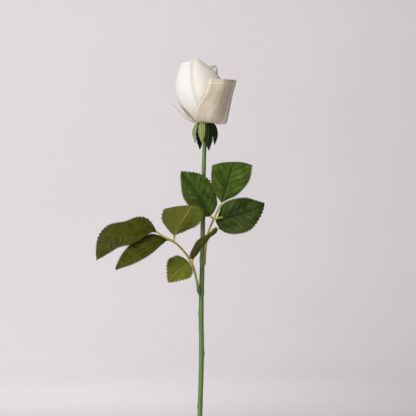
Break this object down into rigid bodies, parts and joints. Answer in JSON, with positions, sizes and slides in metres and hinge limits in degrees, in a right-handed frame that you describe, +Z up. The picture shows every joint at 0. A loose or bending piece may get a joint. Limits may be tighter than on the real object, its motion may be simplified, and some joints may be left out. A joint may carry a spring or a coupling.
{
  "type": "rose in a bud vase",
  "caption": "Long-stemmed white rosebud with compound leaves, standing in a plain, narrow-necked ceramic bud vase, for table or shelf display.",
  "frame": {"origin": "middle of the vase's flat underside, on the axis of the vase", "axes": "+Z up along the vase's axis; -Y towards the front, where both leaves reach; +X to the right seen from the front"},
  "size_m": [0.1692, 0.0979, 0.5711],
  "materials": {
    "vase_glaze": "plain off-white satin glaze with a bare foot",
    "stem_green": "smooth, slightly glossy light green",
    "leaf_stalk_green": "smooth yellow-green",
    "upper_leaf_green": "pressed leaf fabric, dark green, soft gloss, paler underneath",
    "lower_leaf_green": "pressed leaf fabric, olive green, soft gloss, paler underneath",
    "sepal_green": "matt striped green, light outside and dark inside",
    "petal_white": "matt fine-woven warm white with fine rolled edges"
  },
  "bodies": {
    "root": {"bud_vase": "vase_glaze", "stem": "stem_green", "upper_leaf_stalk": "leaf_stalk_green", "upper_leaf_tip": "upper_leaf_green", "upper_leaf_left": "upper_leaf_green", "upper_leaf_right": "upper_leaf_green", "lower_leaf_stalk": "leaf_stalk_green", "lower_leaf_tip": "lower_leaf_green", "lower_leaf_outer_left": "lower_leaf_green", "lower_leaf_outer_right": "lower_leaf_green", "lower_leaf_inner_left": "lower_leaf_green", "lower_leaf_inner_right": "lower_leaf_green", "calyx": "sepal_green", "sepal_left": "sepal_green", "sepal_front": "sepal_green", "sepal_right_front": "sepal_green", "sepal_right": "sepal_green", "sepal_back": "sepal_green", "petal_left": "petal_white", "petal_front": "petal_white", "petal_back": "petal_white", "petal_right": "petal_white", "petal_low_left": "petal_white", "petal_middle_1": "petal_white", "petal_middle_2": "petal_white", "petal_middle_3": "petal_white", "petal_middle_4": "petal_white", "petal_inner_1": "petal_white", "petal_inner_2": "petal_white", "petal_inner_3": "petal_white", "petal_heart": "petal_white"}
  },
  "joints": []
}
